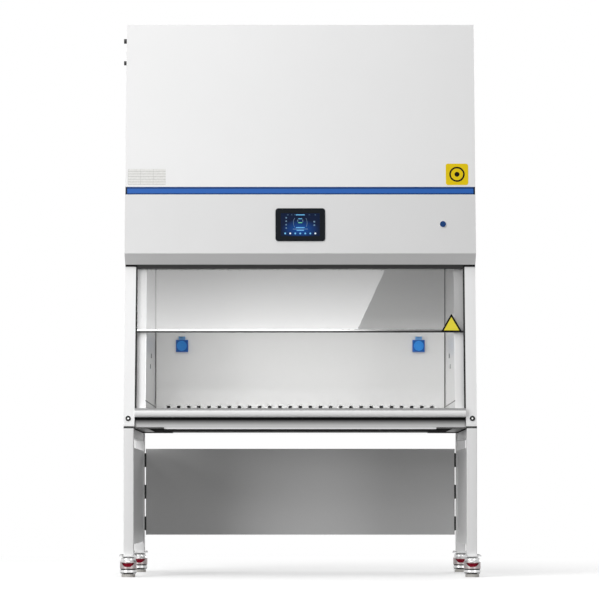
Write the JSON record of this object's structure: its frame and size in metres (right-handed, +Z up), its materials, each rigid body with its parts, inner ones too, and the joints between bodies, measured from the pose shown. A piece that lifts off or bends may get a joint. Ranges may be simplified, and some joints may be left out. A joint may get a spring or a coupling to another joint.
{
  "type": "biosafety cabinet",
  "caption": "Floor-standing cabinet with a sloping glass sash over a steel work chamber, blower and filters above, on a stand with levelling casters.",
  "frame": {"origin": "on the floor, under the middle of the whole outline", "axes": "+Z up; the operator stands at -Y, facing +Y; +X is to the operator's right"},
  "size_m": [1.4335, 0.7766, 2.225],
  "materials": {
    "white_enamel": "smooth powder coat",
    "stainless": "brushed",
    "zinc_plate": "plated",
    "armrest_foam": "smooth",
    "blue_plastic": "satin",
    "grey_plastic": "satin",
    "black_plastic": "satin",
    "screen_glass": "gloss",
    "black_rubber": "matt",
    "sash_pane": "clear",
    "sash_metal": "dark anodised",
    "filter_media": "pleated",
    "motor_metal": "cast",
    "shaft_steel": "ground",
    "caster_casting": "satin",
    "caster_wheel": "satin",
    "caster_dial": "gloss",
    "caster_pad": "matt"
  },
  "bodies": {
    "cabinet": {"side_panel_left": "white_enamel", "side_panel_right": "white_enamel", "rear_panel": "white_enamel", "top_panel": "white_enamel", "front_cover": "white_enamel", "trim_strip": "blue_plastic", "control_panel": "white_enamel", "sash_seal": "black_rubber", "armrest": "armrest_foam", "lower_front_panel": "white_enamel", "base_pan": "stainless", "work_tray": "stainless", "intake_grille": "stainless", "chamber_back": "stainless", "chamber_sides": "white_enamel", "diffuser": "stainless", "lamp_fitting": "grey_plastic", "port_plugs": "black_rubber", "plenum_shell": "stainless", "hepa_filters": "filter_media", "exhaust_grille": "zinc_plate", "blower_motor": "motor_metal", "display_bezel": "black_plastic", "display_screen": "screen_glass", "button_ring": "grey_plastic", "control_box": "grey_plastic", "socket_bodies": "blue_plastic", "sash_guides": "stainless", "drive_frame": "stainless", "gear_motor": "motor_metal", "drive_belts": "black_rubber", "stand_frame": "white_enamel", "stand_side_panels": "white_enamel", "stand_rear_panel": "white_enamel", "mounting_plates": "zinc_plate", "post_screws": "zinc_plate"},
    "sash": {"sash_glass": "sash_pane", "sash_rails": "sash_metal"},
    "drive_shaft": {"drive_shaft": "shaft_steel"},
    "idler_shaft": {"idler_shaft": "shaft_steel"},
    "impeller": {"impeller": "motor_metal"},
    "power_button": {"power_button": "blue_plastic"},
    "socket_lid_left": {"socket_lid_left": "blue_plastic"},
    "socket_lid_right": {"socket_lid_right": "blue_plastic"},
    "caster_front_left": {"caster_housing_front_left": "caster_casting"},
    "caster_wheel_front_left": {"caster_wheel_front_left": "caster_wheel"},
    "caster_dial_front_left": {"caster_dial_front_left": "caster_dial"},
    "caster_pad_front_left": {"caster_pad_front_left": "caster_pad"},
    "caster_front_right": {"caster_housing_front_right": "caster_casting"},
    "caster_wheel_front_right": {"caster_wheel_front_right": "caster_wheel"},
    "caster_dial_front_right": {"caster_dial_front_right": "caster_dial"},
    "caster_pad_front_right": {"caster_pad_front_right": "caster_pad"},
    "caster_rear_left": {"caster_housing_rear_left": "caster_casting"},
    "caster_wheel_rear_left": {"caster_wheel_rear_left": "caster_wheel"},
    "caster_dial_rear_left": {"caster_dial_rear_left": "caster_dial"},
    "caster_pad_rear_left": {"caster_pad_rear_left": "caster_pad"},
    "caster_rear_right": {"caster_housing_rear_right": "caster_casting"},
    "caster_wheel_rear_right": {"caster_wheel_rear_right": "caster_wheel"},
    "caster_dial_rear_right": {"caster_dial_rear_right": "caster_dial"},
    "caster_pad_rear_right": {"caster_pad_rear_right": "caster_pad"}
  },
  "joints": [
    {"name": "sash_slide", "type": "slide", "parent": "cabinet", "child": "sash", "axis": [0, 0.1392, 0.9903], "range_m": [-0.303, 0.2]},
    {"name": "drive_shaft_turn", "type": "hinge", "parent": "cabinet", "child": "drive_shaft", "pos_m": [0, -0.1548, 1.86993], "axis": [1, 0, 0], "range_deg": [-730, 1105]},
    {"name": "idler_shaft_turn", "type": "hinge", "parent": "cabinet", "child": "idler_shaft", "pos_m": [0, -0.23413, 1.30547], "axis": [1, 0, 0], "range_deg": [-730, 1105]},
    {"name": "impeller_spin", "type": "hinge", "parent": "cabinet", "child": "impeller", "pos_m": [0, 0.1885, 1.7575], "axis": [0, 1, 0], "continuous": true},
    {"name": "power_press", "type": "slide", "parent": "cabinet", "child": "power_button", "axis": [0, 0.9903, -0.1392], "range_m": [0, 0.003], "stiffness_N_per_m": 400, "springref_m": -0.001},
    {"name": "socket_lid_left_hinge", "type": "hinge", "parent": "cabinet", "child": "socket_lid_left", "pos_m": [-0.5, 0.22195, 0.987], "axis": [-1, 0, 0], "range_deg": [0, 120], "stiffness_Nm_per_rad": 0.02, "springref_deg": -17.19},
    {"name": "socket_lid_right_hinge", "type": "hinge", "parent": "cabinet", "child": "socket_lid_right", "pos_m": [0.5, 0.22195, 0.987], "axis": [-1, 0, 0], "range_deg": [0, 120], "stiffness_Nm_per_rad": 0.02, "springref_deg": -17.19},
    {"name": "caster_front_left_swivel", "type": "hinge", "parent": "cabinet", "child": "caster_front_left", "pos_m": [-0.6825, -0.35325, 0.07], "axis": [0, 0, 1], "continuous": true},
    {"name": "caster_front_left_roll", "type": "hinge", "parent": "caster_front_left", "child": "caster_wheel_front_left", "pos_m": [-0.6825, -0.29925, 0.024], "axis": [1, 0, 0], "continuous": true},
    {"name": "caster_front_left_dial", "type": "hinge", "parent": "caster_front_left", "child": "caster_dial_front_left", "pos_m": [-0.6825, -0.35325, 0.0485], "axis": [0, 0, 1], "range_deg": [-1080, 1080]},
    {"name": "caster_front_left_pad", "type": "slide", "parent": "caster_front_left", "child": "caster_pad_front_left", "axis": [0, 0, 1], "range_m": [-0.0061, 0.0061]},
    {"name": "caster_front_right_swivel", "type": "hinge", "parent": "cabinet", "child": "caster_front_right", "pos_m": [0.6825, -0.35325, 0.07], "axis": [0, 0, 1], "continuous": true},
    {"name": "caster_front_right_roll", "type": "hinge", "parent": "caster_front_right", "child": "caster_wheel_front_right", "pos_m": [0.6825, -0.29925, 0.024], "axis": [1, 0, 0], "continuous": true},
    {"name": "caster_front_right_dial", "type": "hinge", "parent": "caster_front_right", "child": "caster_dial_front_right", "pos_m": [0.6825, -0.35325, 0.0485], "axis": [0, 0, 1], "range_deg": [-1080, 1080]},
    {"name": "caster_front_right_pad", "type": "slide", "parent": "caster_front_right", "child": "caster_pad_front_right", "axis": [0, 0, 1], "range_m": [-0.0061, 0.0061]},
    {"name": "caster_rear_left_swivel", "type": "hinge", "parent": "cabinet", "child": "caster_rear_left", "pos_m": [-0.6825, 0.27175, 0.07], "axis": [0, 0, 1], "continuous": true},
    {"name": "caster_rear_left_roll", "type": "hinge", "parent": "caster_rear_left", "child": "caster_wheel_rear_left", "pos_m": [-0.6825, 0.32575, 0.024], "axis": [1, 0, 0], "continuous": true},
    {"name": "caster_rear_left_dial", "type": "hinge", "parent": "caster_rear_left", "child": "caster_dial_rear_left", "pos_m": [-0.6825, 0.27175, 0.0485], "axis": [0, 0, 1], "range_deg": [-1080, 1080]},
    {"name": "caster_rear_left_pad", "type": "slide", "parent": "caster_rear_left", "child": "caster_pad_rear_left", "axis": [0, 0, 1], "range_m": [-0.0061, 0.0061]},
    {"name": "caster_rear_right_swivel", "type": "hinge", "parent": "cabinet", "child": "caster_rear_right", "pos_m": [0.6825, 0.27175, 0.07], "axis": [0, 0, 1], "continuous": true},
    {"name": "caster_rear_right_roll", "type": "hinge", "parent": "caster_rear_right", "child": "caster_wheel_rear_right", "pos_m": [0.6825, 0.32575, 0.024], "axis": [1, 0, 0], "continuous": true},
    {"name": "caster_rear_right_dial", "type": "hinge", "parent": "caster_rear_right", "child": "caster_dial_rear_right", "pos_m": [0.6825, 0.27175, 0.0485], "axis": [0, 0, 1], "range_deg": [-1080, 1080]},
    {"name": "caster_rear_right_pad", "type": "slide", "parent": "caster_rear_right", "child": "caster_pad_rear_right", "axis": [0, 0, 1], "range_m": [-0.0061, 0.0061]}
  ],
  "couplings": [
    {"joint": "drive_shaft_turn", "follows": "sash_slide", "rad_per_m": -63.492},
    {"joint": "idler_shaft_turn", "follows": "sash_slide", "rad_per_m": -63.492},
    {"joint": "caster_front_left_pad", "follows": "caster_front_left_dial", "m_per_rad": 0.00031831},
    {"joint": "caster_front_right_pad", "follows": "caster_front_right_dial", "m_per_rad": 0.00031831},
    {"joint": "caster_rear_left_pad", "follows": "caster_rear_left_dial", "m_per_rad": 0.00031831},
    {"joint": "caster_rear_right_pad", "follows": "caster_rear_right_dial", "m_per_rad": 0.00031831}
  ]
}
